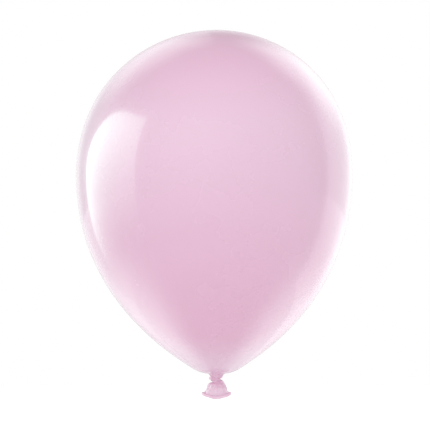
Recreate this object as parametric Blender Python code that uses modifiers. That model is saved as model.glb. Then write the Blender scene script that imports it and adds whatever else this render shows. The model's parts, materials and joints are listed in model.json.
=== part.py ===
# Round latex party balloon, inflated and closed with an overhand knot.
# The origin is the centre of the waist just above the knot, where a ribbon is tied. +Z points to the crown.
import math

import bpy
from mathutils import Vector

# Inflated envelope, metres
BALLOON_WIDTH = 0.2800        # across the widest ring
CROWN_HEIGHT = 0.3513         # crown above the waist
WIDEST_HEIGHT = 0.2050        # widest ring above the waist
FILM_WALL = 0.0001            # stand-in wall: the stretched film is thinner still
SHOULDER_RADIUS = 0.0240      # where the straight lower flank starts to turn under
SHOULDER_HEIGHT = 0.0084
SHOULDER_SLOPE = math.radians(32.5)
UNDERSIDE_HEIGHT = 0.0033     # lowest ring of the envelope, around the neck
CURL_RADIUS = 0.0012          # how sharply the film turns up into the dimple

# Fullness of the outline: handle lengths as shares of the stretch that they bend
CROWN_FULLNESS = 0.504
UPPER_FULLNESS = 0.630
LOWER_FULLNESS = 0.620
FLANK_FULLNESS = 0.162
UNDERSIDE_FULLNESS = 0.36

# Neck: a throat in the dimple of the envelope, with pleats gathered under it
NECK_PIVOT_HEIGHT = 0.0090
THROAT_RADIUS = 0.0030
PLEAT_TOP_RADIUS = 0.0068
PLEAT_TOP_HEIGHT = 0.0046
PLEAT_FOOT_RADIUS = 0.0053
PLEAT_FOOT_HEIGHT = 0.0005
PLEAT_DEPTH = 0.0003
PLEAT_COUNT = 8
CUP_RISE = math.radians(-35)  # how far up the throat the pleats reach
SWING_ROOM = 0.0018           # free space between the pleats and the dimple wall

# Overhand knot
STRAND_RADIUS = 0.00135
KNOT_REACH = 5.4              # farthest point of the knot from its centre, in strand radii
STRAND_END_RISE = 3.14        # top of the strand above the knot's centre, in strand radii
STEPS_PER_HANDLE = 4

# Tail: a flared tube of film with a rolled lip
STEM_THICKNESS = 0.0015
STEM_HALF_ANGLE = math.radians(28)
TAIL_WALL = 0.0005
TAIL_RIM_DROP = math.radians(-25)   # elevation of the upper rim of the tail, seen from the knot centre
TAIL_WAIST_RADIUS = 0.0109
TAIL_WAIST_DROP = 0.0122
TAIL_PLEAT_DEPTH = 0.0003
LIP_WIDTH = 0.0308
LIP_DEPTH = 0.0192
LIP_DROP = 0.0188             # middle of the rolled lip below the waist
LIP_BOW = 0.0016              # the lip's front and back hang lower than its sides
LIP_BEAD_RADIUS = 0.0017

GAP = 0.0003                  # between pieces that touch
MERGE = 0.00001
ENVELOPE_SEGMENTS = 48
SMALL_SEGMENTS = 40           # a multiple of PLEAT_COUNT, so that every pleat has the same facets
OUTLINE_STEPS = 8
BOWL_STEPS = 6
SHORT_STEPS = 4

KNOT_DROP = STRAND_END_RISE * STRAND_RADIUS + GAP - PLEAT_FOOT_HEIGHT
KNOT_CENTRE = Vector((0, 0, -KNOT_DROP))
BOWL_INNER = KNOT_REACH * STRAND_RADIUS + GAP
STEM_OUTER = BOWL_INNER - GAP
STEM_INNER = STEM_OUTER - STEM_THICKNESS
BOWL_OUTER = BOWL_INNER + TAIL_WALL
LIP_EDGE_DROP = LIP_DROP - LIP_BEAD_RADIUS - GAP


def clear_scene():
    for old in list(bpy.data.objects):
        bpy.data.objects.remove(old, do_unlink=True)


def latex(name, colour, roughness):
    material = bpy.data.materials.new(name)
    material.use_nodes = True
    shader = material.node_tree.nodes["Principled BSDF"]
    shader.inputs["Base Color"].default_value = (*colour, 1)
    shader.inputs["Roughness"].default_value = roughness
    shader.inputs["Metallic"].default_value = 0
    return material


def bezier(start, handle_a, handle_b, end, steps):
    # Points of a cubic curve, without its first point
    points = []
    for index in range(1, steps + 1):
        t = index / steps
        u = 1 - t
        points.append((
            u ** 3 * start[0] + 3 * u * u * t * handle_a[0] + 3 * u * t * t * handle_b[0] + t ** 3 * end[0],
            u ** 3 * start[1] + 3 * u * u * t * handle_a[1] + 3 * u * t * t * handle_b[1] + t ** 3 * end[1],
        ))
    return points


def on_circle(centre, radius, angle):
    # A point of the (radius, height) plane, seen from the centre at the angle given
    return (centre[0] + radius * math.cos(angle), centre[1] + radius * math.sin(angle))


def arc(centre, radius, start, end, steps):
    # Points of a circular arc, both ends included
    return [on_circle(centre, radius, start + (end - start) * index / steps) for index in range(steps + 1)]


def smooth(value, low, high):
    share = min(1.0, max(0.0, (value - low) / (high - low)))
    return share * share * (3 - 2 * share)


def add_object(name, data, material, collection):
    piece = bpy.data.objects.new(name, data)
    piece.data.materials.append(material)
    collection.objects.link(piece)
    return piece


def turned(name, profile, segments, material, collection, origin):
    # A profile of (radius, height) points turned about the Z axis through the origin given
    mesh = bpy.data.meshes.new(name)
    points = [(radius, 0, height - origin.z) for radius, height in profile]
    mesh.from_pydata(points, [(i, i + 1) for i in range(len(points) - 1)], [])
    piece = add_object(name, mesh, material, collection)
    piece.location = origin
    screw = piece.modifiers.new("Turn", "SCREW")
    screw.steps = segments
    screw.render_steps = segments
    screw.use_merge_vertices = True
    screw.merge_threshold = MERGE
    return piece


def settle(piece):
    # Make the turned shape a plain mesh, so that its vertices can be pleated and pressed
    view = piece.evaluated_get(bpy.context.evaluated_depsgraph_get())
    mesh = bpy.data.meshes.new_from_object(view)
    piece.modifiers.clear()
    piece.data = mesh
    return mesh


def make_envelope(material, collection):
    # Outer face from the crown down to the edge of the throat's hole; the wall grows inward
    radius = BALLOON_WIDTH / 2
    crown = (0, CROWN_HEIGHT)
    widest = (radius, WIDEST_HEIGHT)
    shoulder = (SHOULDER_RADIUS, SHOULDER_HEIGHT)
    slope = (math.cos(SHOULDER_SLOPE), math.sin(SHOULDER_SLOPE))
    dimple_radius = PLEAT_TOP_RADIUS + PLEAT_DEPTH + SWING_ROOM
    ring = (dimple_radius + CURL_RADIUS, UNDERSIDE_HEIGHT)
    flank = FLANK_FULLNESS * (WIDEST_HEIGHT - SHOULDER_HEIGHT)
    under = UNDERSIDE_FULLNESS * (SHOULDER_RADIUS - ring[0])
    curl_end = (dimple_radius, UNDERSIDE_HEIGHT + CURL_RADIUS)
    hole = (THROAT_RADIUS + GAP, NECK_PIVOT_HEIGHT)

    profile = [crown]
    profile += bezier(
        crown,
        (CROWN_FULLNESS * radius, CROWN_HEIGHT),
        (radius, WIDEST_HEIGHT + UPPER_FULLNESS * (CROWN_HEIGHT - WIDEST_HEIGHT)),
        widest, OUTLINE_STEPS)
    profile += bezier(
        widest,
        (radius, WIDEST_HEIGHT - LOWER_FULLNESS * (WIDEST_HEIGHT - SHOULDER_HEIGHT)),
        (shoulder[0] + flank * slope[0], shoulder[1] + flank * slope[1]),
        shoulder, OUTLINE_STEPS)
    profile += bezier(
        shoulder,
        (shoulder[0] - under * slope[0], shoulder[1] - under * slope[1]),
        (ring[0] + under, ring[1]),
        ring, SHORT_STEPS)
    profile += arc((ring[0], curl_end[1]), CURL_RADIUS, -math.pi / 2, -math.pi, SHORT_STEPS)[1:]
    rise = (NECK_PIVOT_HEIGHT - curl_end[1]) * 0.7
    inset = (dimple_radius - hole[0]) * 0.5
    profile += bezier(
        curl_end,
        (dimple_radius, curl_end[1] + rise),
        (hole[0] + inset, NECK_PIVOT_HEIGHT),
        hole, SHORT_STEPS)

    piece = turned("envelope", profile, ENVELOPE_SEGMENTS, material, collection, Vector((0, 0, 0)))
    wall = piece.modifiers.new("Wall", "SOLIDIFY")
    wall.thickness = FILM_WALL
    wall.offset = -1
    wall.use_even_offset = True
    return piece


def make_throat(material, collection):
    # The film drawn together in the hole of the dimple: a ball centred on the neck's pivot
    bpy.ops.mesh.primitive_uv_sphere_add(
        segments=24, ring_count=12, radius=THROAT_RADIUS, location=(0, 0, NECK_PIVOT_HEIGHT))
    piece = bpy.context.object
    piece.name = "neck_throat"
    piece.data.materials.append(material)
    for owner in list(piece.users_collection):
        owner.objects.unlink(piece)
    collection.objects.link(piece)
    return piece


def make_pleats(material, collection):
    # Gathered neck under the throat: a cup around the throat, a rounded shoulder and a tapering foot
    cup = arc((0, NECK_PIVOT_HEIGHT), THROAT_RADIUS + GAP, -math.pi / 2, CUP_RISE, SHORT_STEPS + 2)
    shoulder = (PLEAT_TOP_RADIUS, PLEAT_TOP_HEIGHT)
    foot = (PLEAT_FOOT_RADIUS, PLEAT_FOOT_HEIGHT)
    reach = PLEAT_TOP_RADIUS - cup[-1][0]
    profile = [(0, cup[0][1])] + cup[1:]
    profile += bezier(
        cup[-1],
        (cup[-1][0] + 0.5 * reach, cup[-1][1]),
        (PLEAT_TOP_RADIUS, PLEAT_TOP_HEIGHT + 0.3 * reach),
        shoulder, SHORT_STEPS)
    profile += bezier(
        shoulder,
        (PLEAT_TOP_RADIUS, 0.6 * PLEAT_TOP_HEIGHT),
        (PLEAT_FOOT_RADIUS, 0.5 * PLEAT_TOP_HEIGHT),
        foot, SHORT_STEPS)
    profile += [(0.6 * PLEAT_FOOT_RADIUS, PLEAT_FOOT_HEIGHT), (0, PLEAT_FOOT_HEIGHT)]
    origin = Vector((0, 0, NECK_PIVOT_HEIGHT))
    piece = turned("neck_pleats", profile, SMALL_SEGMENTS, material, collection, origin)

    for vertex in settle(piece).vertices:
        reach = math.hypot(vertex.co.x, vertex.co.y)
        angle = math.atan2(vertex.co.y, vertex.co.x)
        fold = PLEAT_DEPTH * math.cos(PLEAT_COUNT * angle)
        fold *= smooth(reach, THROAT_RADIUS + 2 * GAP, PLEAT_FOOT_RADIUS)
        if reach > 0:
            vertex.co.x *= 1 + fold / reach
            vertex.co.y *= 1 + fold / reach
    return piece


def knot_route():
    # Half of the strand in strand radii, from the middle of the knot to its upper end.
    # The other half is the same turned half round the Y axis.
    half = [
        (0.0, 2.2, 0.0),
        (2.8, 1.85, -0.75),
        (4.05, 0.15, -1.45),
        (2.95, -1.8, -1.65),
        (0.3, -2.25, -1.4),
        (-1.55, -0.95, -0.35),
        (-1.25, -0.15, 0.7),
        (-0.8, 0.0, 1.7),
        (-0.4, 0.0, 2.75),
    ]
    other = [(-x, y, -z) for x, y, z in reversed(half[1:])]
    return [Vector(point) * STRAND_RADIUS for point in other + half]


def smooth_route(handles, steps):
    # Evenly stepped points of a smooth curve through the handles
    ends = [2 * handles[0] - handles[1]] + handles + [2 * handles[-1] - handles[-2]]
    points = [handles[0]]
    for a, b, c, d in zip(ends, ends[1:], ends[2:], ends[3:]):
        for index in range(1, steps + 1):
            t = index / steps
            points.append(0.5 * (
                2 * b + (c - a) * t + (2 * a - 5 * b + 4 * c - d) * t * t + (3 * b - a - 3 * c + d) * t ** 3))
    return points


def tube(name, points, radius, cyclic, material, collection, origin):
    curve = bpy.data.curves.new(name, "CURVE")
    curve.dimensions = "3D"
    curve.bevel_depth = radius
    curve.bevel_resolution = 2
    curve.use_fill_caps = not cyclic
    line = curve.splines.new("POLY")
    line.points.add(len(points) - 1)
    for target, point in zip(line.points, points):
        target.co = (*point, 1)
    line.use_cyclic_u = cyclic
    piece = add_object(name, curve, material, collection)
    piece.location = origin
    return piece


def make_knot(material, collection):
    route = smooth_route(knot_route(), STEPS_PER_HANDLE)
    return tube("knot", route, STRAND_RADIUS, False, material, collection, KNOT_CENTRE)


def make_stem(material, collection):
    # Bundle of film leaving the underside of the knot: a thick cap centred on the knot
    centre = (0, KNOT_CENTRE.z)
    low = -math.pi / 2
    inner = arc(centre, STEM_INNER, low, low + STEM_HALF_ANGLE, SHORT_STEPS)
    outer = arc(centre, STEM_OUTER, low + STEM_HALF_ANGLE, low, SHORT_STEPS)
    profile = [(0, inner[0][1])] + inner[1:] + outer[:-1] + [(0, outer[-1][1])]
    return turned("tail_stem", profile, SMALL_SEGMENTS // 2, material, collection, KNOT_CENTRE)


def lip_shape(angle, radius, height):
    # Press the round tail to the lip's oval and bow its sides up, more and more towards the lip
    share = smooth(-height, BOWL_OUTER + KNOT_DROP, LIP_EDGE_DROP)
    oval = (LIP_DEPTH / 2 - LIP_BEAD_RADIUS) / (LIP_WIDTH / 2 - LIP_BEAD_RADIUS)
    squeeze = 1 + (oval - 1) * share
    lift = LIP_BOW * math.cos(2 * angle) * share
    return radius * math.cos(angle), squeeze * radius * math.sin(angle), height + lift


def make_tail(material, collection):
    # A bowl around the stem and the knot's underside, with a flared skirt hanging from its rim
    centre = (0, KNOT_CENTRE.z)
    low = -math.pi / 2
    edge_radius = LIP_WIDTH / 2 - LIP_BEAD_RADIUS
    bowl = arc(centre, BOWL_INNER, low, TAIL_RIM_DROP, BOWL_STEPS)
    rim = on_circle(centre, BOWL_OUTER, TAIL_RIM_DROP)
    waist = (TAIL_WAIST_RADIUS, -TAIL_WAIST_DROP)
    edge = (edge_radius + TAIL_WALL / 2, -LIP_EDGE_DROP)
    drop = rim[1] - waist[1]
    flare = waist[1] - edge[1]
    wall = bezier(rim, (rim[0] + 0.6 * (waist[0] - rim[0]), rim[1] - 0.1 * drop),
                  (waist[0], waist[1] + 0.4 * drop), waist, SHORT_STEPS + 1)
    wall += bezier(waist, (waist[0], waist[1] - 0.4 * flare),
                   (edge[0] - 0.4 * (edge[0] - waist[0]), edge[1] + 0.2 * flare), edge, SHORT_STEPS)
    inside = [(radius - TAIL_WALL, height) for radius, height in reversed(wall[1:])]
    under = arc(centre, BOWL_OUTER, TAIL_RIM_DROP - math.radians(16), low, BOWL_STEPS - 1)
    profile = [(0, bowl[0][1])] + bowl[1:] + [rim] + wall + inside + under[:-1] + [(0, under[-1][1])]
    piece = turned("tail_skirt", profile, SMALL_SEGMENTS, material, collection, KNOT_CENTRE)

    for vertex in settle(piece).vertices:
        radius = math.hypot(vertex.co.x, vertex.co.y)
        angle = math.atan2(vertex.co.y, vertex.co.x)
        height = vertex.co.z + KNOT_CENTRE.z
        away = math.hypot(radius, vertex.co.z) - BOWL_OUTER
        fold = TAIL_PLEAT_DEPTH * math.cos(PLEAT_COUNT * angle)
        fold *= smooth(away, GAP, 3 * GAP) * (1 - smooth(-height, TAIL_WAIST_DROP, LIP_EDGE_DROP))
        x, y, z = lip_shape(angle, radius + fold, height)
        vertex.co = (x, y, z - KNOT_CENTRE.z)
    return piece


def make_lip(material, collection):
    # Rolled bead along the tail's mouth
    points = []
    for index in range(SMALL_SEGMENTS):
        angle = math.tau * index / SMALL_SEGMENTS
        point = lip_shape(angle, LIP_WIDTH / 2 - LIP_BEAD_RADIUS, -LIP_DROP)
        points.append(Vector(point) - KNOT_CENTRE)
    return tube("lip_bead", points, LIP_BEAD_RADIUS, True, material, collection, KNOT_CENTRE)


def smooth_shading(pieces):
    for piece in pieces:
        if piece.type == "MESH":
            piece.data.shade_smooth()
            piece.data.set_sharp_from_angle(angle=math.radians(40))


def main():
    clear_scene()
    collection = bpy.data.collections.new("latex_balloon")
    bpy.context.scene.collection.children.link(collection)
    film = latex("inflated_film", (0.78, 0.51, 0.68), 0.20)
    gathered = latex("gathered_film", (0.72, 0.42, 0.60), 0.35)
    rolled = latex("rolled_lip", (0.70, 0.40, 0.58), 0.30)
    pieces = [
        make_envelope(film, collection),
        make_throat(gathered, collection),
        make_pleats(gathered, collection),
        make_knot(gathered, collection),
        make_stem(gathered, collection),
        make_tail(gathered, collection),
        make_lip(rolled, collection),
    ]
    smooth_shading(pieces)


main()
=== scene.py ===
import json
import math

import bpy
import numpy as np
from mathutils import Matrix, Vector


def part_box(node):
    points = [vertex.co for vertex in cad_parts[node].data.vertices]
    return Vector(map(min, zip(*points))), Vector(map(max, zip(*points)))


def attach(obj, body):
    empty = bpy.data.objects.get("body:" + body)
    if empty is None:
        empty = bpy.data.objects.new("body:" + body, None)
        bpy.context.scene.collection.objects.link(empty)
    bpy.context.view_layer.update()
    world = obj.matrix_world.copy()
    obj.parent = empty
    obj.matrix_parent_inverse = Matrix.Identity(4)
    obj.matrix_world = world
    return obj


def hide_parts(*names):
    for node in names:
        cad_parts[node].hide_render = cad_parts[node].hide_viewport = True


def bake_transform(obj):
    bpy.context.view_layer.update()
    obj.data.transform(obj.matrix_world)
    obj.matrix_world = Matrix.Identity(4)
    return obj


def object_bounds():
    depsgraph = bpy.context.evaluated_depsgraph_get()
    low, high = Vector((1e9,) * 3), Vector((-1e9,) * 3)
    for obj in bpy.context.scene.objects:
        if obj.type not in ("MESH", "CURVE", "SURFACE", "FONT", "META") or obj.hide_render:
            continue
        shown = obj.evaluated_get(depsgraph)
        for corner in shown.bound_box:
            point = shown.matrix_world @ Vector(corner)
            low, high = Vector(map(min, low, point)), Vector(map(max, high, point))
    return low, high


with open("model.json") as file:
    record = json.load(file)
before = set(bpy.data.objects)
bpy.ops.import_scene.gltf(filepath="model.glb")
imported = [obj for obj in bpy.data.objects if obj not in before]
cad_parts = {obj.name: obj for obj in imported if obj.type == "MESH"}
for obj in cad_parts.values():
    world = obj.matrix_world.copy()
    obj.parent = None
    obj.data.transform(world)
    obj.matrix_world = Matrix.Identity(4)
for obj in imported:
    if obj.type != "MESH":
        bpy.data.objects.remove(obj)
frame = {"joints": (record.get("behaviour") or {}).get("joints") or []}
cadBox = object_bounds()
joints = {joint["name"]: joint for joint in frame["joints"]}
knotCentre = Vector(joints["tail_nod"]["pos_m"])
print("frame loaded, the knot sits at height", round(knotCentre.z, 5))


# Meshes

def bezier(start, handleA, handleB, end, steps):
    t = np.linspace(0, 1, steps + 1)[:, None]
    a, b, c, d = (np.array(point, float) for point in (start, handleA, handleB, end))
    return (1 - t) ** 3 * a + 3 * (1 - t) ** 2 * t * b + 3 * (1 - t) * t * t * c + t ** 3 * d


def smooth(value, low, high):
    share = np.clip((value - low) / (high - low), 0, 1)
    return share * share * (3 - 2 * share)


def evenOut(outline, rows, crowding=0.0):
    # Points at even steps along an outline, closer together towards its end if crowding is above 0
    steps = np.hypot(*np.diff(outline, axis=0).T)
    along = np.concatenate(([0], np.cumsum(steps)))
    share = np.linspace(0, 1, rows)
    share = share + crowding * share * (1 - share)
    return np.stack([np.interp(share * along[-1], along, outline[:, k]) for k in (0, 1)], axis=1)


def aroundAngles(columns):
    return np.linspace(0, math.tau, columns, endpoint=False)


def newPiece(name, points, faces):
    mesh = bpy.data.meshes.new(name)
    mesh.from_pydata(points, [], faces)
    mesh.validate()
    mesh.shade_smooth()
    piece = bpy.data.objects.new(name, mesh)
    bpy.context.scene.collection.objects.link(piece)
    return piece


def sheetFromRings(name, rings, startPoint=None, endPoint=None):
    # Rings run from the top down and anticlockwise seen from above, so the faces look outward
    rows, columns = rings.shape[:2]
    points = rings.reshape(-1, 3).tolist()
    faces = []
    for row in range(rows - 1):
        for column in range(columns):
            after = (column + 1) % columns
            upper, lower = row * columns, (row + 1) * columns
            faces.append((upper + column, lower + column, lower + after, upper + after))
    if startPoint is not None:
        points.append(list(startPoint))
        faces += [(len(points) - 1, column, (column + 1) % columns) for column in range(columns)]
    if endPoint is not None:
        points.append(list(endPoint))
        last = (rows - 1) * columns
        for column in range(columns):
            faces.append((len(points) - 1, last + (column + 1) % columns, last + column))
    return newPiece(name, points, faces)


def ringTube(name, rings):
    # A tube that closes on itself both ways
    count, around = rings.shape[:2]
    faces = []
    for index in range(count):
        following = (index + 1) % count
        for step in range(around):
            after = (step + 1) % around
            faces.append((index * around + step, following * around + step,
                          following * around + after, index * around + after))
    return newPiece(name, rings.reshape(-1, 3).tolist(), faces)


def unit(vector):
    return vector / np.linalg.norm(vector)


def heading(path, index):
    return unit(path[min(index + 1, len(path) - 1)] - path[max(index - 1, 0)])


def sweptTube(name, path, normals, section):
    # section(index) gives the outline round the path at a point, as (sideways, up) pairs
    rings = []
    for index, (point, up) in enumerate(zip(path, normals)):
        side = np.cross(up, heading(path, index))
        rings.append([point + s * side + u * up for s, u in section(index)])
    return sheetFromRings(name, np.array(rings), path[0], path[-1])


def carriedNormals(path):
    # One sideways direction carried along the path without twisting
    normals = []
    up = np.array((0.0, 1.0, 0.0))
    for index in range(len(path)):
        ahead = heading(path, index)
        up = unit(up - ahead * float(up @ ahead))
        normals.append(up)
    return normals


def settle(piece):
    # Apply the piece's modifiers
    view = piece.evaluated_get(bpy.context.evaluated_depsgraph_get())
    mesh = bpy.data.meshes.new_from_object(view)
    piece.modifiers.clear()
    piece.data = mesh
    mesh.shade_smooth()


def places(piece):
    found = np.empty(len(piece.data.vertices) * 3, np.float32)
    piece.data.vertices.foreach_get("co", found)
    return found.reshape(-1, 3)


def markFilm(piece, tintShare):
    # The film's thickness, which on the skin also carries painted light from below near the neck, and
    # each point's resting place, which the materials read at every pose
    mesh = piece.data
    found = places(piece)
    mark = mesh.attributes.new("filmTintShare", "FLOAT", "POINT")
    mark.data.foreach_set("value", np.asarray(tintShare(found), np.float32))
    rest = mesh.attributes.new("restPlace", "FLOAT_VECTOR", "POINT")
    rest.data.foreach_set("vector", found.ravel())


# Latex, from node groups that every film shares

latex = {
    "ior": 1.52,
    "coatIor": 1.5,
    "glowSpread": (1.0, 0.55, 0.75),  # red light goes furthest inside the film
    "dustColour": (0.93, 0.86, 0.9),
    "inflated": {
        "thinFilm": (0.80, 0.535, 0.69), "thickFilm": (0.76, 0.392, 0.576),
        "cloudScale": 9, "cloudAmount": 0.12,
        "cleanRoughness": 0.27, "dustyRoughness": 0.31, "dustScale": 40, "dustPaleness": 0.02,
        "streakHeight": 0.5, "grainScale": 700, "bumpStrength": 0.05, "bumpDistance": 0.001,
        "coat": 0.75, "coatRoughness": 0.05, "glow": 0, "glowDepth": 0.012,
    },
    "gathered": {
        "thinFilm": (0.86, 0.62, 0.76), "thickFilm": (0.82, 0.53, 0.69),
        "cloudScale": 130, "cloudAmount": 0.12,
        "cleanRoughness": 0.34, "dustyRoughness": 0.55, "dustScale": 700, "dustPaleness": 0.25,
        "streakHeight": 0.6, "grainScale": 4000, "bumpStrength": 0.25, "bumpDistance": 0.0002,
        "coat": 0.35, "coatRoughness": 0.14, "glow": 0.15, "glowDepth": 0.002,
    },
}


def newGroup(name, inputs, outputs):
    group = bpy.data.node_groups.new(name, "ShaderNodeTree")
    for label, kind, value in inputs:
        socket = group.interface.new_socket(name=label, in_out="INPUT", socket_type=kind)
        if value is not None:
            socket.default_value = value
    for label, kind in outputs:
        group.interface.new_socket(name=label, in_out="OUTPUT", socket_type=kind)
    return group, group.nodes.new("NodeGroupInput"), group.nodes.new("NodeGroupOutput")


def feed(tree, socket, value):
    # A plain number or colour is set on the socket, another node's output is linked to it
    if hasattr(value, "links"):
        tree.links.new(value, socket)
    else:
        socket.default_value = value


def noiseNode(tree, place, scale, detail):
    node = tree.nodes.new("ShaderNodeTexNoise")
    feed(tree, node.inputs["Vector"], place)
    feed(tree, node.inputs["Scale"], scale)
    feed(tree, node.inputs["Detail"], detail)
    return node.outputs["Fac"]


def stretched(tree, place, stretch):
    node = tree.nodes.new("ShaderNodeVectorMath")
    node.operation = "MULTIPLY"
    node.inputs[1].default_value = stretch
    tree.links.new(place, node.inputs[0])
    return node.outputs[0]


def rangeNode(tree, value, low, high, toLow, toHigh):
    node = tree.nodes.new("ShaderNodeMapRange")
    node.interpolation_type = "SMOOTHSTEP"
    tree.links.new(value, node.inputs["Value"])
    for label, number in (("From Min", low), ("From Max", high), ("To Min", toLow), ("To Max", toHigh)):
        feed(tree, node.inputs[label], number)
    return node.outputs["Result"]


def mathNode(tree, operation, a, b):
    node = tree.nodes.new("ShaderNodeMath")
    node.operation = operation
    feed(tree, node.inputs[0], a)
    feed(tree, node.inputs[1], b)
    return node.outputs[0]


def mixColour(tree, share, a, b):
    node = tree.nodes.new("ShaderNodeMix")
    node.data_type = "RGBA"
    for index, value in ((0, share), (6, a), (7, b)):    # the colour sockets of a Mix node
        feed(tree, node.inputs[index], value)
    return node.outputs[2]


def buildTintGroup():
    # Pigment: paler where the film is stretched thin, deeper where it is thick, and a little cloudy; on
    # the skin the share it reads also holds painted light near the neck
    group, entry, leave = newGroup(
        "latexTint",
        [("Place", "NodeSocketVector", None), ("Thickness", "NodeSocketFloat", 0.0),
         ("Thin Film", "NodeSocketColor", (0.8, 0.5, 0.7, 1)),
         ("Thick Film", "NodeSocketColor", (0.7, 0.4, 0.6, 1)),
         ("Cloud Scale", "NodeSocketFloat", 12.0), ("Cloud Amount", "NodeSocketFloat", 0.1)],
        [("Color", "NodeSocketColor")])
    clouds = noiseNode(group, entry.outputs["Place"], entry.outputs["Cloud Scale"], 3)
    centred = mathNode(group, "SUBTRACT", clouds, 0.5)
    drift = mathNode(group, "MULTIPLY", centred, entry.outputs["Cloud Amount"])
    share = mathNode(group, "ADD", entry.outputs["Thickness"], drift)
    limited = group.nodes.new("ShaderNodeClamp")
    group.links.new(share, limited.inputs["Value"])
    colour = mixColour(group, limited.outputs[0], entry.outputs["Thin Film"], entry.outputs["Thick Film"])
    group.links.new(colour, leave.inputs["Color"])
    return group


def buildSurfaceGroup():
    # Talc dust, faint handling smears, and the fine streaks and pinpricks left by dipping
    group, entry, leave = newGroup(
        "latexSurface",
        [("Place", "NodeSocketVector", None), ("Clean Roughness", "NodeSocketFloat", 0.2),
         ("Dusty Roughness", "NodeSocketFloat", 0.4), ("Dust Scale", "NodeSocketFloat", 60.0),
         ("Streak Height", "NodeSocketFloat", 0.3), ("Grain Scale", "NodeSocketFloat", 900.0)],
        [("Roughness", "NodeSocketFloat"), ("Dust", "NodeSocketFloat"), ("Height", "NodeSocketFloat")])
    place = entry.outputs["Place"]
    dust = noiseNode(group, place, entry.outputs["Dust Scale"], 5)
    patches = noiseNode(group, place, 9, 2)
    dusted = mathNode(group, "MULTIPLY", rangeNode(group, dust, 0.35, 0.85, 0, 1),
                      rangeNode(group, patches, 0.42, 0.62, 0.15, 1))
    roughness = rangeNode(group, dusted, 0, 1,
                          entry.outputs["Clean Roughness"], entry.outputs["Dusty Roughness"])
    streaks = noiseNode(group, stretched(group, place, (1, 1, 0.12)), 70, 2)
    grain = noiseNode(group, place, entry.outputs["Grain Scale"], 2)
    streakHeight = mathNode(group, "MULTIPLY", streaks, entry.outputs["Streak Height"])
    height = mathNode(group, "ADD", streakHeight, mathNode(group, "MULTIPLY", grain, 0.12))
    group.links.new(roughness, leave.inputs["Roughness"])
    group.links.new(dusted, leave.inputs["Dust"])
    group.links.new(height, leave.inputs["Height"])
    return group


tintGroup = buildTintGroup()
surfaceGroup = buildSurfaceGroup()


def latexMaterial(name, look):
    material = bpy.data.materials.new(name)
    material.use_nodes = True
    tree = material.node_tree
    shader = tree.nodes["Principled BSDF"]
    rest = tree.nodes.new("ShaderNodeAttribute")
    rest.attribute_name = "restPlace"
    tintShare = tree.nodes.new("ShaderNodeAttribute")
    tintShare.attribute_name = "filmTintShare"

    tint = tree.nodes.new("ShaderNodeGroup")
    tint.node_tree = tintGroup
    tree.links.new(rest.outputs["Vector"], tint.inputs["Place"])
    tree.links.new(tintShare.outputs["Fac"], tint.inputs["Thickness"])
    tint.inputs["Thin Film"].default_value = (*look["thinFilm"], 1)
    tint.inputs["Thick Film"].default_value = (*look["thickFilm"], 1)
    tint.inputs["Cloud Scale"].default_value = look["cloudScale"]
    tint.inputs["Cloud Amount"].default_value = look["cloudAmount"]

    surface = tree.nodes.new("ShaderNodeGroup")
    surface.node_tree = surfaceGroup
    tree.links.new(rest.outputs["Vector"], surface.inputs["Place"])
    surface.inputs["Clean Roughness"].default_value = look["cleanRoughness"]
    surface.inputs["Dusty Roughness"].default_value = look["dustyRoughness"]
    surface.inputs["Dust Scale"].default_value = look["dustScale"]
    surface.inputs["Streak Height"].default_value = look["streakHeight"]
    surface.inputs["Grain Scale"].default_value = look["grainScale"]

    dustShare = mathNode(tree, "MULTIPLY", surface.outputs["Dust"], look["dustPaleness"])
    dusty = mixColour(tree, dustShare, tint.outputs["Color"], (*latex["dustColour"], 1))
    tree.links.new(dusty, shader.inputs["Base Color"])
    tree.links.new(surface.outputs["Roughness"], shader.inputs["Roughness"])
    bump = tree.nodes.new("ShaderNodeBump")
    bump.inputs["Strength"].default_value = look["bumpStrength"]
    bump.inputs["Distance"].default_value = look["bumpDistance"]
    tree.links.new(surface.outputs["Height"], bump.inputs["Height"])
    tree.links.new(bump.outputs["Normal"], shader.inputs["Normal"])
    shader.inputs["IOR"].default_value = latex["ior"]
    shader.inputs["Coat Weight"].default_value = look["coat"]
    shader.inputs["Coat Roughness"].default_value = look["coatRoughness"]
    shader.inputs["Coat IOR"].default_value = latex["coatIor"]
    shader.inputs["Subsurface Weight"].default_value = look["glow"]
    shader.inputs["Subsurface Radius"].default_value = latex["glowSpread"]
    shader.inputs["Subsurface Scale"].default_value = look["glowDepth"]
    return material


inflatedFilm = latexMaterial("inflatedFilm", latex["inflated"])
gatheredFilm = latexMaterial("gatheredFilm", latex["gathered"])
tailFilm = latexMaterial("tailFilm", dict(latex["gathered"], cleanRoughness=0.30, coat=0.4))
lipFilm = latexMaterial("lipFilm", dict(latex["gathered"], thickFilm=(0.84, 0.58, 0.72),
                                        cleanRoughness=0.28, coat=0.5))
print("latex mixed")


# Inflated skin

skin = {
    "columns": 176,
    "rows": 170,
    "crowding": 0.93,                 # more rows towards the neck, where the folds are
    "widestHeight": 0.2050,
    "crownFullness": 0.504,
    "upperFullness": 0.630,
    "lowerFullness": 0.620,
    "flankFullness": 0.162,
    "shoulder": (0.0240, 0.0084),
    "shoulderSlope": math.radians(32.5),
    "tuck": 0.36,                     # how far the shoulder carries on before it turns to the neck
    "underRadius": 0.0098,
    "underRise": 0.0001,              # height of the skin's lowest ring over the bottom of the envelope
    "underHandle": (0.0036, 0.00035),
    "collar": (0.0079, 0.00275),      # where the skin passes into the folds of the neck
    "lean": -0.0024,                  # sideways belly of the body, which never fills quite evenly
    "foldCount": 17,
    "foldDepth": 0.00042,
    "foldReach": 0.046,               # how far from the axis the folds of the neck still show
}


def neckFolds(angle):
    # Uneven folds round the neck, shared by the skin and by the neck so that they meet
    count = skin["foldCount"]
    wander = 1.1 * np.sin(2 * angle + 0.6) + 0.7 * np.sin(3 * angle + 2.1)
    return 0.75 * np.cos(count * angle + wander) + 0.25 * np.cos(2 * count * angle + 2.3 * wander)


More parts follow.
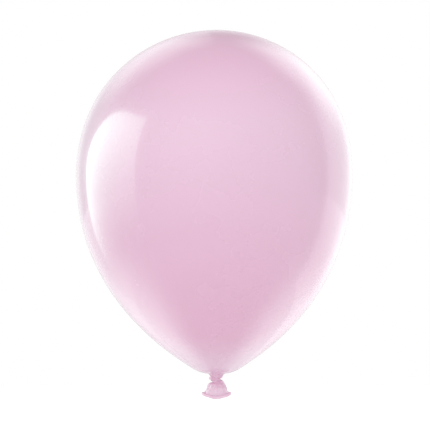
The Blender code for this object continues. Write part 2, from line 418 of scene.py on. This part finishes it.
def makeSkin():
    low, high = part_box("envelope")
    radius, crown, under = (high[0] - low[0]) / 2, high[2], low[2]
    widest = skin["widestHeight"]
    shoulder = np.array(skin["shoulder"])
    slope = np.array((math.cos(skin["shoulderSlope"]), math.sin(skin["shoulderSlope"])))
    flank = skin["flankFullness"] * (widest - shoulder[1])
    tuck = skin["tuck"] * (shoulder[0] - skin["underRadius"])
    handle, collar = skin["underHandle"], skin["collar"]
    upper = bezier((0, crown), (skin["crownFullness"] * radius, crown),
                   (radius, widest + skin["upperFullness"] * (crown - widest)), (radius, widest), 200)
    lower = bezier((radius, widest), (radius, widest - skin["lowerFullness"] * (widest - shoulder[1])),
                   shoulder + flank * slope, shoulder, 200)
    below = bezier(shoulder, shoulder - tuck * slope,
                   (skin["underRadius"] + handle[0], under + handle[1]),
                   (skin["underRadius"], under + skin["underRise"]), 60)
    turn = bezier(below[-1], below[-1] - (0.0009, 0.00009),
                  (collar[0] + 0.0005, collar[1] + 0.00035), collar, 20)
    outline = np.concatenate((upper, lower[1:], below[1:], turn[1:]))
    outline = evenOut(outline, skin["rows"], skin["crowding"])[1:]

    angle = aroundAngles(skin["columns"])[None, :]
    reach, height = outline[:, :1], outline[:, 1:]
    onUnderside = 1 - smooth(height, 0.5 * widest, 0.6 * widest)
    fade = (1 - smooth(reach, skin["underRadius"], skin["foldReach"])) ** 1.6 * onUnderside
    spread = reach + skin["foldDepth"] * fade * neckFolds(angle)
    bulge = skin["lean"] * np.sin(math.pi * np.clip(height / crown, 0, 1)) ** 1.2
    x = spread * np.cos(angle) + bulge
    y = spread * np.sin(angle)
    z = np.broadcast_to(height, x.shape)
    piece = sheetFromRings("balloonSkin", np.stack((x, y, z), axis=2), startPoint=(0, 0, crown))

    def tintShare(found):
        # Blown thinnest round the middle, thicker towards the crown and most of all low on the flanks;
        # right round the neck it is paled again as painted light, standing in for light thrown up from
        # the floor
        top = smooth(found[:, 2], 0.70 * crown, 0.97 * crown)
        bottom = 1 - smooth(found[:, 2], 0.0, 0.72 * crown)
        # painted light: the skin round the neck is paled to stand in for bounce light from below, not
        # because the film is thinner there
        paintedUnderLight = 1 - smooth(found[:, 2], 0.0, 0.14 * crown)
        return np.clip(0.45 * top + 0.75 * bottom - 0.85 * paintedUnderLight, 0, 1)

    markFilm(piece, tintShare)
    piece.data.materials.append(inflatedFilm)
    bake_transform(piece)
    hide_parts("envelope", "neck_throat")


# Neck

neck = {
    "rows": 34,
    "waistRadius": 0.0054,
    "waistHeight": -0.0006,
    "innerRadius": 0.0026,
    "foldDepth": 0.00055,
}


def makeNeck():
    collar = skin["collar"]
    waist = (neck["waistRadius"], neck["waistHeight"])
    flare = bezier(collar, (collar[0] - 0.0008, collar[1] - 0.0004),
                   (waist[0] + 0.0003, waist[1] + 0.0013), waist, 40)
    inner = (neck["innerRadius"], waist[1] - 0.0012)
    tuckIn = bezier(waist, (waist[0] - 0.0002, waist[1] - 0.0007),
                    (inner[0] + 0.0012, inner[1]), inner, 20)
    outline = evenOut(np.concatenate((flare, tuckIn[1:])), neck["rows"])
    angle = aroundAngles(skin["columns"])[None, :]
    reach, height = outline[:, :1], outline[:, 1:]
    deepening = smooth(-height, -collar[1], -waist[1])
    depth = skin["foldDepth"] + (neck["foldDepth"] - skin["foldDepth"]) * deepening
    spread = reach + depth * neckFolds(angle) * np.minimum(1, reach / waist[0])
    x, y = spread * np.cos(angle), spread * np.sin(angle)
    z = np.broadcast_to(height, x.shape)
    piece = sheetFromRings("neckFolds", np.stack((x, y, z), axis=2), endPoint=(0, 0, inner[1]))

    def tintShare(found):
        return 0.75 + 0.25 * (1 - smooth(found[:, 2], waist[1], collar[1]))

    markFilm(piece, tintShare)
    piece.data.materials.append(gatheredFilm)
    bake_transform(piece)
    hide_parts("neck_pleats")


# Knot

knot = {
    "strandRadius": 0.00138,
    "swell": 1.58,                    # soft rubber fills the gaps of the tied strand
    "flatness": 0.86,
    "ridges": 6,
    "ridgeDepth": 0.085,
    "twist": 2.2,
    "pulse": 0.05,                    # the strand swells and thins a little along its way
    "stepsPerHandle": 9,
    "around": 48,
    "filmShare": 0.9,
    "voxel": 0.00016,
    "softening": 0.5,
    "softenTimes": 4,
    "halfRoute": [                    # from the middle of the knot to its upper end, in strand radii
        (0.0, 2.2, 0.0), (2.8, 1.85, -0.75), (4.05, 0.15, -1.45), (2.95, -1.8, -1.65),
        (0.3, -2.25, -1.4), (-1.55, -0.95, -0.35), (-1.25, -0.15, 0.7),
        (-0.8, 0.0, 1.7), (-0.4, 0.0, 2.75),
    ],
}


def strandPath(steps):
    half = np.array(knot["halfRoute"]) * knot["strandRadius"]
    other = (half * (-1, 1, -1))[:0:-1]
    handles = np.concatenate((other, half))
    handles = np.concatenate(([2 * handles[0] - handles[1]], handles, [2 * handles[-1] - handles[-2]]))
    points = [handles[1]]
    for a, b, c, d in zip(handles, handles[1:], handles[2:], handles[3:]):
        for t in np.linspace(0, 1, steps + 1)[1:]:
            points.append(0.5 * (2 * b + (c - a) * t + (2 * a - 5 * b + 4 * c - d) * t * t
                                 + (3 * b - a - 3 * c + d) * t ** 3))
    return np.array(points) + np.array(knotCentre)


def makeKnot():
    path = strandPath(knot["stepsPerHandle"])
    radius = knot["strandRadius"] * knot["swell"]
    around = aroundAngles(knot["around"])

    def section(index):
        share = index / (len(path) - 1)
        twist = knot["twist"] * math.tau * share
        ridges = 1 + knot["ridgeDepth"] * np.cos(knot["ridges"] * around + twist)
        pulse = 1 + knot["pulse"] * math.sin(9 * share + 1)
        side = radius * pulse * ridges * np.cos(around)
        up = radius * pulse * knot["flatness"] * ridges * np.sin(around)
        return list(zip(side, up))

    piece = sweptTube("tiedKnot", path, carriedNormals(path), section)
    remesh = piece.modifiers.new("Fuse", "REMESH")
    remesh.mode = "VOXEL"
    remesh.voxel_size = knot["voxel"]
    soften = piece.modifiers.new("Soften", "SMOOTH")
    soften.factor = knot["softening"]
    soften.iterations = knot["softenTimes"]
    settle(piece)
    markFilm(piece, lambda found: np.full(len(found), knot["filmShare"]))
    piece.data.materials.append(gatheredFilm)
    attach(piece, "knot")
    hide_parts("knot")


# Tail

tail = {
    "columns": 176,
    "gatherRows": 26,
    "fanRows": 44,
    "wall": 0.00045,
    "crease": (0.0042, -0.0062),      # where the film leaves the underside of the knot
    "rim": (0.0075, -0.0069),
    "seam": (0.0086, -0.0083),        # where the gather passes into the fan
    "waist": (0.0103, -0.0122),
    "edge": (0.0134, -0.0172),
    "domeDrop": 0.0037,
    "foldCount": 11,
    "foldDepth": 0.00062,
}


def tailFolds(angle):
    wander = 0.9 * np.sin(angle + 0.4) + 0.6 * np.sin(2 * angle + 1.2)
    count = tail["foldCount"]
    return 0.7 * np.cos(count * angle + wander) + 0.3 * np.cos((2 * count + 1) * angle + 1.7 * wander)


lip = {
    "beadRadius": 0.0017,
    "columns": 176,
    "around": 26,
    "wave": 0.00012,
    "unevenness": 0.03,
    "grooveDepth": 0.16,              # the rolled film ends in a fine groove, as a share of the bead
    "grooveTurn": 2.3,                # in radians round the bead, from its outside upward
    "grooveWidth": 0.28,
    "filmShare": 0.9,
}


def lipSizes():
    low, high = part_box("lip_bead")
    bead = lip["beadRadius"]
    width, depth = (high[0] - low[0]) / 2 - bead, (high[1] - low[1]) / 2 - bead
    bow = (high[2] - low[2]) / 2 - bead
    return bead, width, depth, bow, (high[2] + low[2]) / 2


def pressed(angle, reach, height, folds):
    # Round at the knot, oval and bowed at the lip, like a flattened tube that springs half open
    bead, width, depth, bow, middle = lipSizes()
    share = smooth(-height, 0.0100, -middle)
    squeeze = 1 + (depth / width - 1) * share
    lift = bow * np.cos(2 * angle) * share
    spread = reach + folds
    return np.stack((spread * np.cos(angle), squeeze * spread * np.sin(angle), height + lift), axis=2)


def tailRings(outline):
    angle = aroundAngles(tail["columns"])[None, :]
    reach, height = outline[:, :1], outline[:, 1:]
    flat = smooth(-height, -tail["waist"][1] - 0.002, -tail["edge"][1])
    fade = smooth(reach, 0.0, tail["crease"][0]) * (1 - 0.9 * flat)
    return pressed(angle, reach, height, tail["foldDepth"] * fade * tailFolds(angle))


def tailThickness(found):
    return 0.85 - 0.45 * smooth(-found[:, 2], 0.007, 0.015)


def makeTailGather():
    crease, rim, seam = (np.array(tail[key]) for key in ("crease", "rim", "seam"))
    outer = bezier(crease, crease + (0.0018, 0.0007), rim + (-0.0009, 0.0006), rim, 30)
    down = bezier(rim, rim + (0.0007, -0.0004), seam + (-0.0003, 0.0006), seam, 20)
    outline = evenOut(np.concatenate((outer, down[1:])), tail["gatherRows"])
    piece = sheetFromRings("tailGather", tailRings(outline), startPoint=(0, 0, crease[1]))
    markFilm(piece, tailThickness)
    piece.data.materials.append(tailFilm)
    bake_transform(piece)
    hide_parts("tail_stem")


def makeTailFan():
    seam, waist, edge = (np.array(tail[key]) for key in ("seam", "waist", "edge"))
    upper = bezier(seam, seam + (0.0005, -0.0010), waist + (-0.0001, 0.0014), waist, 40)
    lower = bezier(waist, waist + (0.0001, -0.0024), edge + (-0.0008, 0.0006), edge, 40)
    outside = evenOut(np.concatenate((upper, lower[1:])), tail["fanRows"])
    inside = outside[::-1] - (tail["wall"], 0)
    domeTop = seam[1] - tail["domeDrop"]
    dome = bezier(inside[-1], inside[-1] + (-0.0004, -0.0016), (0.0045, domeTop), (0.0004, domeTop), 12)
    outline = np.concatenate((outside, inside, dome[1:]))
    piece = sheetFromRings("tailFan", tailRings(outline), endPoint=(0, 0, domeTop))
    markFilm(piece, tailThickness)
    piece.data.materials.append(tailFilm)
    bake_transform(piece)
    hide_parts("tail_skirt")


def makeLip():
    bead, width, depth, bow, middle = lipSizes()
    columns, around = lip["columns"], aroundAngles(lip["around"])
    angle = aroundAngles(columns)
    wobble = lip["wave"] * (np.sin(5 * angle + 0.5) + 0.7 * np.sin(11 * angle))
    centre = np.stack((width * np.cos(angle), depth * np.sin(angle),
                       middle + bow * np.cos(2 * angle) + wobble), axis=1)
    rings = []
    for index in range(columns):
        ahead = unit(centre[(index + 1) % columns] - centre[index - 1])
        out = unit(np.cross(ahead, (0, 0, 1)))
        up = np.cross(out, ahead)
        swelling = math.sin(7 * angle[index] + 1) + 0.7 * math.sin(13 * angle[index])
        size = bead * (1 + lip["unevenness"] * swelling)
        groove = lip["grooveDepth"] * np.exp(-((around - lip["grooveTurn"]) / lip["grooveWidth"]) ** 2)
        reach = (size * (1 - groove))[:, None]
        outline = np.cos(around)[:, None] * out + np.sin(around)[:, None] * up
        rings.append(centre[index] + reach * outline)
    piece = ringTube("rolledLip", np.array(rings))
    markFilm(piece, lambda found: np.full(len(found), lip["filmShare"]))
    piece.data.materials.append(lipFilm)
    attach(piece, "tail")
    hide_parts("lip_bead")


makeSkin()
print("skin made")
makeNeck()
makeKnot()
print("neck and knot made")
makeTailGather()
makeTailFan()
makeLip()
print("tail made")


# Studio

studio = {
    "floorDrop": 1.2,
    "floorRadius": 14,
    "floorColour": (0.84, 0.84, 0.84),
    "floorRoughness": 0.9,
    "floorGlow": 0.21,                # the floor's own light, as seen near the balloon
    "floorSweep": 0.63,               # the same far behind it, where it passes into the lit backdrop
    "sweepReach": (2.5, 6),           # how far behind the balloon the one passes into the other
    "floorBounce": 0.20,              # what the floor gives the underside of the balloon
    "frontLight": 0.95,
    "backLight": 0.42,
    "frontToBack": (-0.6, 0.7),       # where, along Y, the front light passes into the back light
    "backGlow": 0.42,
    "glowEdge": (0.78, 0.96),
    "topLight": 0.12,
    "roomShade": 0.88,                # the backdrop is white, the rest of the room as pale as the floor
    "backdropEdge": (0.85, 0.97),
    "panelHeight": 0.19,              # the panels stand round the middle of the balloon
    "panelGrid": (64, 48),
    "cutCurve": 4,
    "panels": {
        # turn and tilt in degrees about the balloon: turn 0 is its right side, 90 is behind, 180 its left
        # sides: the share of the panel over which each one fades, and the light left at the very edge
        # cut: degrees by which the top slopes away at the first side
        # a soft panel also lights the film all over, the others only show as reflections in it
        "windowLeft": {"distance": 1.6, "turn": (141, 205), "tilt": (-30, 36), "cut": 31, "soft": False,
                       "brightness": 3.8, "colour": (0.62, 1, 0.8),
                       "sides": ((0.07, 0), (0.5, 0.75), (0.85, 0), (0.05, 0))},
        "washLeft": {"distance": 1.9, "turn": (95, 190), "tilt": (-38, 55), "cut": 0, "soft": False,
                     "brightness": 0.5, "colour": (0.8, 1, 0.92),
                     "sides": ((0.3, 0), (0.5, 0), (0.1, 0.7), (0.4, 0))},
        "kickLeft": {"distance": 1.25, "turn": (100, 215), "tilt": (-76, -20), "cut": 0, "soft": False,
                     "brightness": 1.35, "colour": (0.75, 1, 0.9),
                     "sides": ((0.3, 0), (0.5, 0), (0.4, 0), (0.5, 0))},
        "hazeLeft": {"distance": 2.1, "turn": (92, 162), "tilt": (18, 70), "cut": 0, "soft": False,
                     "brightness": 0.95, "colour": (0.85, 1, 0.93),
                     "sides": ((0.25, 0.3), (0.5, 0), (0.4, 0), (0.4, 0))},
        "washRight": {"distance": 1.9, "turn": (9, 85), "tilt": (-38, 45), "cut": 0, "soft": False,
                      "brightness": 0.95, "colour": (0.92, 1, 0.96),
                      "sides": ((0.12, 0), (0.4, 0), (0.4, 0.6), (0.4, 0))},
        "kickRight": {"distance": 1.25, "turn": (-20, 85), "tilt": (-76, -20), "cut": 0, "soft": False,
                      "brightness": 1.15, "colour": (0.75, 1, 0.9),
                      "sides": ((0.4, 0), (0.4, 0), (0.4, 0), (0.5, 0))},
        "hazeRight": {"distance": 2.1, "turn": (12, 85), "tilt": (10, 66), "cut": 0, "soft": False,
                      "brightness": 1.4, "colour": (0.85, 1, 0.93),
                      "sides": ((0.4, 0), (0.4, 0), (0.4, 0), (0.4, 0))},
        "keyFront": {"distance": 1.8, "turn": (190, 310), "tilt": (-25, 65), "cut": 0, "soft": True,
                     "brightness": 0.4, "colour": (1, 1, 1),
                     "sides": ((0.5, 0), (0.5, 0), (0.5, 0), (0.5, 0))},
    },
}


def makeFloor():
    low, high = cadBox
    bpy.ops.mesh.primitive_circle_add(vertices=96, radius=studio["floorRadius"], fill_type="NGON",
                                      location=(0, 0, low[2] - studio["floorDrop"]))
    floor = bpy.context.object
    floor.name = "studioFloor"
    material = bpy.data.materials.new("paleFloor")
    material.use_nodes = True
    tree = material.node_tree
    shader = tree.nodes["Principled BSDF"]
    shader.inputs["Base Color"].default_value = (*studio["floorColour"], 1)
    shader.inputs["Roughness"].default_value = studio["floorRoughness"]
    shader.inputs["Emission Color"].default_value = (1, 1, 1, 1)
    # The floor brightens into the lit backdrop like a paper sweep
    place = tree.nodes.new("ShaderNodeNewGeometry")
    away = tree.nodes.new("ShaderNodeSeparateXYZ")
    tree.links.new(place.outputs["Position"], away.inputs[0])
    sweep = rangeNode(tree, away.outputs["Y"], *studio["sweepReach"],
                      studio["floorGlow"], studio["floorSweep"])
    path = tree.nodes.new("ShaderNodeLightPath")
    glow = rangeNode(tree, path.outputs["Is Camera Ray"], 0, 1, studio["floorBounce"], sweep)
    tree.links.new(glow, shader.inputs["Emission Strength"])
    floor.data.materials.append(material)


def fadeIn(share, side):
    width, left = side
    return left + (1 - left) * smooth(share, 0, width)


def makePanel(name, look):
    # A curved sheet of diffusing cloth round the balloon, lit from behind
    columns, rows = studio["panelGrid"]
    across, up = np.linspace(0, 1, columns), np.linspace(0, 1, rows)
    turn = np.radians(look["turn"][0] + (look["turn"][1] - look["turn"][0]) * across)[None, :]
    top = look["tilt"][1] - look["cut"] * (1 - across[None, :]) ** studio["cutCurve"]
    tilt = np.radians(look["tilt"][0] + (top - look["tilt"][0]) * up[:, None])
    atFirst, atLast, atBottom, atTop = look["sides"]
    glow = (fadeIn(across, atFirst) * fadeIn(1 - across, atLast))[None, :]
    glow = glow * (fadeIn(up, atBottom) * fadeIn(1 - up, atTop))[:, None] * look["brightness"]
    spread = np.stack((np.cos(tilt) * np.cos(turn), np.cos(tilt) * np.sin(turn),
                       np.sin(tilt)), axis=2) * look["distance"] + (0, 0, studio["panelHeight"])
    faces = []
    for row in range(rows - 1):
        for column in range(columns - 1):
            corner = row * columns + column
            faces.append((corner, corner + columns, corner + columns + 1, corner + 1))
    mesh = bpy.data.meshes.new(name)
    mesh.from_pydata(spread.reshape(-1, 3).tolist(), [], faces)
    mark = mesh.attributes.new("glow", "FLOAT", "POINT")
    mark.data.foreach_set("value", glow.ravel().astype(np.float32))
    panel = bpy.data.objects.new(name, mesh)
    bpy.context.scene.collection.objects.link(panel)
    panel.visible_camera = False
    panel.visible_shadow = False
    panel.visible_diffuse = look["soft"]
    material = bpy.data.materials.new(name + "Cloth")
    material.use_nodes = True
    tree = material.node_tree
    tree.nodes.clear()
    brightness = tree.nodes.new("ShaderNodeAttribute")
    brightness.attribute_name = "glow"
    light = tree.nodes.new("ShaderNodeEmission")
    light.inputs["Color"].default_value = (*look["colour"], 1)
    clear = tree.nodes.new("ShaderNodeBsdfTransparent")
    both = tree.nodes.new("ShaderNodeAddShader")
    leave = tree.nodes.new("ShaderNodeOutputMaterial")
    tree.links.new(brightness.outputs["Fac"], light.inputs["Strength"])
    tree.links.new(light.outputs[0], both.inputs[0])
    tree.links.new(clear.outputs[0], both.inputs[1])
    tree.links.new(both.outputs[0], leave.inputs["Surface"])
    if not look["soft"]:
        material.cycles.emission_sampling = "NONE"
    mesh.materials.append(material)


def makeWorld():
    world = bpy.data.worlds.new("studioWorld")
    bpy.context.scene.world = world
    world.use_nodes = True
    tree = world.node_tree
    tree.nodes.clear()
    path = tree.nodes.new("ShaderNodeLightPath")
    seen = tree.nodes.new("ShaderNodeBackground")
    seen.inputs["Color"].default_value = (1, 1, 1, 1)
    lit = tree.nodes.new("ShaderNodeBackground")
    lit.inputs["Color"].default_value = (1, 1, 1, 1)
    place = tree.nodes.new("ShaderNodeTexCoord")
    parts = tree.nodes.new("ShaderNodeSeparateXYZ")
    tree.links.new(place.outputs["Generated"], parts.inputs[0])
    room = rangeNode(tree, parts.outputs["Y"], *studio["frontToBack"],
                     studio["frontLight"], studio["backLight"])
    behind = rangeNode(tree, parts.outputs["Y"], *studio["glowEdge"], 0, studio["backGlow"])
    ceiling = rangeNode(tree, parts.outputs["Z"], 0, 1, 0, studio["topLight"])
    total = mathNode(tree, "ADD", mathNode(tree, "ADD", room, ceiling), behind)
    tree.links.new(total, lit.inputs["Strength"])
    backdrop = rangeNode(tree, parts.outputs["Y"], *studio["backdropEdge"], studio["roomShade"], 1)
    tree.links.new(backdrop, seen.inputs["Strength"])
    mix = tree.nodes.new("ShaderNodeMixShader")
    leave = tree.nodes.new("ShaderNodeOutputWorld")
    tree.links.new(path.outputs["Is Camera Ray"], mix.inputs[0])
    tree.links.new(lit.outputs[0], mix.inputs[1])
    tree.links.new(seen.outputs[0], mix.inputs[2])
    tree.links.new(mix.outputs[0], leave.inputs["Surface"])


viewpoint = {
    "lens": 165,
    "sensorWidth": 36,
    "place": (-0.0015, -2.0, 0.164),
    "turn": (math.radians(90), 0, 0),
    "nearest": 0.05,
}


def makeCamera():
    data = bpy.data.cameras.new("viewCamera")
    data.sensor_width = viewpoint["sensorWidth"]
    data.lens = viewpoint["lens"]
    data.clip_start = viewpoint["nearest"]
    camera = bpy.data.objects.new("viewCamera", data)
    bpy.context.scene.collection.objects.link(camera)
    camera.location = viewpoint["place"]
    camera.rotation_euler = viewpoint["turn"]
    bpy.context.scene.camera = camera


makeFloor()
for panelName, panelLook in studio["panels"].items():
    makePanel(panelName, panelLook)
makeWorld()
makeCamera()
bpy.context.scene.view_settings.view_transform = "Standard"
print("studio made")
